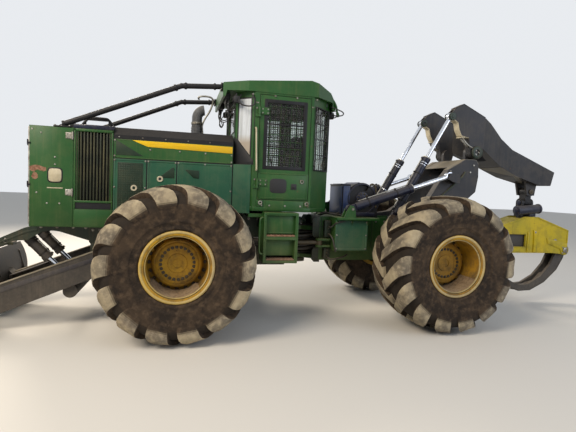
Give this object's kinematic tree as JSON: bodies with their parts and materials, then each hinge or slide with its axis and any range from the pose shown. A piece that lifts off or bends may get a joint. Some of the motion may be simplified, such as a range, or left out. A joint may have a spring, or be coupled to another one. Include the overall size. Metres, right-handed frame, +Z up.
{
  "type": "grapple skidder",
  "caption": "Articulated four-wheel grapple skidder with a cab, a front stacking blade and a rear arch, boom and grapple.",
  "frame": {"origin": "on the ground under the middle of the whole machine", "axes": "-X to the front of the machine, +Y to its right, +Z up"},
  "size_m": [10, 3.43, 3.536],
  "materials": {
    "green_paint": "gloss enamel, dusty and scratched",
    "dark_paint": "satin black enamel, worn",
    "yellow_paint": "gloss enamel, muddy",
    "frame_paint": "green enamel under dried mud",
    "tyre": "matt rubber with dried mud",
    "chrome": "polished rod",
    "cast": "oily cast iron",
    "glass": "clear safety pane",
    "trim": "moulded trim",
    "lamp": "clear lamp lens",
    "exhaust": "heat-stained steel"
  },
  "bodies": {
    "front": {"front_frame": "frame_paint", "front_axle": "cast", "engine_block": "cast", "cooling_box": "green_paint", "side_grilles": "frame_paint", "cooler_core": "cast", "engine_hood": "green_paint", "hood_top": "dark_paint", "exhaust_stack": "exhaust", "limb_risers": "dark_paint", "cab_shell": "green_paint", "cab_roof": "green_paint", "cab_glass": "glass", "cab_interior": "trim", "side_boxes": "green_paint", "step_boxes": "green_paint", "work_lamps": "lamp"},
    "door_left_leaf": {"door_left": "green_paint", "door_left_glass": "glass"},
    "door_right_leaf": {"door_right": "green_paint", "door_right_glass": "glass"},
    "blade_set": {"blade_frame": "dark_paint", "blade": "dark_paint"},
    "blade_barrels": {"blade_barrels": "dark_paint"},
    "blade_rods": {"blade_rods": "chrome"},
    "steer_left_barrel": {"steer_barrel_left": "dark_paint"},
    "steer_left_rod": {"steer_rod_left": "chrome"},
    "steer_right_barrel": {"steer_barrel_right": "dark_paint"},
    "steer_right_rod": {"steer_rod_right": "chrome"},
    "wheel_front_left": {"tyre_front_left": "tyre", "rim_front_left": "yellow_paint"},
    "wheel_front_right": {"tyre_front_right": "tyre", "rim_front_right": "yellow_paint"},
    "wheel_rear_left": {"tyre_rear_left": "tyre", "rim_rear_left": "yellow_paint"},
    "wheel_rear_right": {"tyre_rear_right": "tyre", "rim_rear_right": "yellow_paint"},
    "rear": {"rear_frame": "green_paint", "rear_axle": "cast", "winch": "dark_paint"},
    "arch_set": {"arch": "dark_paint"},
    "arch_barrels": {"arch_barrels": "dark_paint"},
    "arch_rods": {"arch_rods": "chrome"},
    "boom_set": {"boom": "dark_paint"},
    "boom_barrels": {"boom_barrels": "dark_paint"},
    "boom_rods": {"boom_rods": "chrome"},
    "crosshead_link": {"crosshead": "dark_paint"},
    "swing_frame": {"swing_link": "dark_paint"},
    "head": {"grapple_head": "yellow_paint"},
    "tong_front_leaf": {"tong_front": "dark_paint"},
    "tong_rear_leaf": {"tong_rear": "dark_paint"}
  },
  "joints": [
    {"name": "articulation", "type": "hinge", "parent": "front", "child": "rear", "pos_m": [-0.385, 0, 1.15], "axis": [0, 0, 1], "range_deg": [-45, 45]},
    {"name": "wheel_front_left_spin", "type": "hinge", "parent": "front", "child": "wheel_front_left", "pos_m": [-2.285, -1.265, 0.985], "axis": [0, 1, 0], "continuous": true},
    {"name": "wheel_front_right_spin", "type": "hinge", "parent": "front", "child": "wheel_front_right", "pos_m": [-2.285, 1.265, 0.985], "axis": [0, 1, 0], "continuous": true},
    {"name": "wheel_rear_left_spin", "type": "hinge", "parent": "rear", "child": "wheel_rear_left", "pos_m": [1.515, -1.265, 0.985], "axis": [0, 1, 0], "continuous": true},
    {"name": "wheel_rear_right_spin", "type": "hinge", "parent": "rear", "child": "wheel_rear_right", "pos_m": [1.515, 1.265, 0.985], "axis": [0, 1, 0], "continuous": true},
    {"name": "door_left_swing", "type": "hinge", "parent": "front", "child": "door_left_leaf", "pos_m": [-1.227, -0.824, 2.5], "axis": [0, 0, -1], "range_deg": [0, 90]},
    {"name": "door_right_swing", "type": "hinge", "parent": "front", "child": "door_right_leaf", "pos_m": [-1.227, 0.824, 2.5], "axis": [0, 0, 1], "range_deg": [0, 90]},
    {"name": "steer_left_barrel_swing", "type": "hinge", "parent": "front", "child": "steer_left_barrel", "pos_m": [-1.435, -0.43, 1.15], "axis": [0, 0, 1], "range_deg": [-8.26, 8.26]},
    {"name": "steer_left_rod_slide", "type": "slide", "parent": "steer_left_barrel", "child": "steer_left_rod", "axis": [1, 0, 0], "range_m": [-0.3299, 0.3299]},
    {"name": "steer_right_barrel_swing", "type": "hinge", "parent": "front", "child": "steer_right_barrel", "pos_m": [-1.435, 0.43, 1.15], "axis": [0, 0, 1], "range_deg": [-8.26, 8.26]},
    {"name": "steer_right_rod_slide", "type": "slide", "parent": "steer_right_barrel", "child": "steer_right_rod", "axis": [1, 0, 0], "range_m": [-0.3299, 0.3299]},
    {"name": "blade_lift", "type": "hinge", "parent": "front", "child": "blade_set", "pos_m": [-2.835, 0, 1.09], "axis": [0, 1, 0], "range_deg": [-2, 16]},
    {"name": "blade_barrel_swing", "type": "hinge", "parent": "front", "child": "blade_barrels", "pos_m": [-4.335, 0, 1.215], "axis": [0, -1, 0], "range_deg": [-1.96, 12.16]},
    {"name": "blade_rod_slide", "type": "slide", "parent": "blade_barrels", "child": "blade_rods", "axis": [0.6912, 0, -0.7226], "range_m": [-0.2609, 0.0361]},
    {"name": "arch_tilt", "type": "hinge", "parent": "rear", "child": "arch_set", "pos_m": [1.665, 0, 1.45], "axis": [0, -1, 0], "range_deg": [-5, 30]},
    {"name": "arch_barrel_swing", "type": "hinge", "parent": "rear", "child": "arch_barrels", "pos_m": [0.295, 0, 1.7], "axis": [0, -1, 0], "range_deg": [-1.98, 9.38]},
    {"name": "arch_rod_slide", "type": "slide", "parent": "arch_barrels", "child": "arch_rods", "axis": [0.9453, 0, 0.3262], "range_m": [-0.3991, 0.0698]},
    {"name": "boom_lift", "type": "hinge", "parent": "arch_set", "child": "boom_set", "pos_m": [2.565, 0, 2.72], "axis": [0, -1, 0], "range_deg": [-12, 45]},
    {"name": "boom_barrel_swing", "type": "hinge", "parent": "arch_set", "child": "boom_barrels", "pos_m": [1.095, 0, 1.54], "axis": [0, -1, 0], "range_deg": [-0.81, 1.65]},
    {"name": "boom_rod_slide", "type": "slide", "parent": "boom_barrels", "child": "boom_rods", "axis": [0.4886, 0, 0.8725], "range_m": [-0.5814, 0.158]},
    {"name": "grapple_swing", "type": "hinge", "parent": "boom_set", "child": "crosshead_link", "pos_m": [4.085, 0, 2.11], "axis": [0, 1, 0], "range_deg": [-35, 35]},
    {"name": "grapple_tilt", "type": "hinge", "parent": "crosshead_link", "child": "swing_frame", "pos_m": [4.085, 0, 1.9], "axis": [1, 0, 0], "range_deg": [-25, 25]},
    {"name": "grapple_turn", "type": "hinge", "parent": "swing_frame", "child": "head", "pos_m": [4.085, 0, 1.6], "axis": [0, 0, 1], "continuous": true},
    {"name": "tong_open", "type": "hinge", "parent": "head", "child": "tong_front_leaf", "pos_m": [3.285, 0, 1.03], "axis": [0, 1, 0], "range_deg": [0, 65]},
    {"name": "tong_rear_open", "type": "hinge", "parent": "head", "child": "tong_rear_leaf", "pos_m": [4.885, 0, 1.03], "axis": [0, -1, 0], "range_deg": [0, 65]}
  ],
  "couplings": [
    {"joint": "steer_left_barrel_swing", "follows": "articulation", "ratio": 0.17241},
    {"joint": "steer_left_rod_slide", "follows": "articulation", "m_per_rad": 0.41492},
    {"joint": "steer_right_barrel_swing", "follows": "articulation", "ratio": 0.17241},
    {"joint": "steer_right_rod_slide", "follows": "articulation", "m_per_rad": -0.41492},
    {"joint": "blade_barrel_swing", "follows": "blade_lift", "ratio": 0.72872},
    {"joint": "blade_rod_slide", "follows": "blade_lift", "m_per_rad": -0.9198},
    {"joint": "arch_barrel_swing", "follows": "arch_tilt", "ratio": 0.29592},
    {"joint": "arch_rod_slide", "follows": "arch_tilt", "m_per_rad": -0.75453},
    {"joint": "boom_barrel_swing", "follows": "boom_lift", "ratio": 0.025454},
    {"joint": "boom_rod_slide", "follows": "boom_lift", "m_per_rad": -0.7352},
    {"joint": "tong_rear_open", "follows": "tong_open", "ratio": 1}
  ]
}
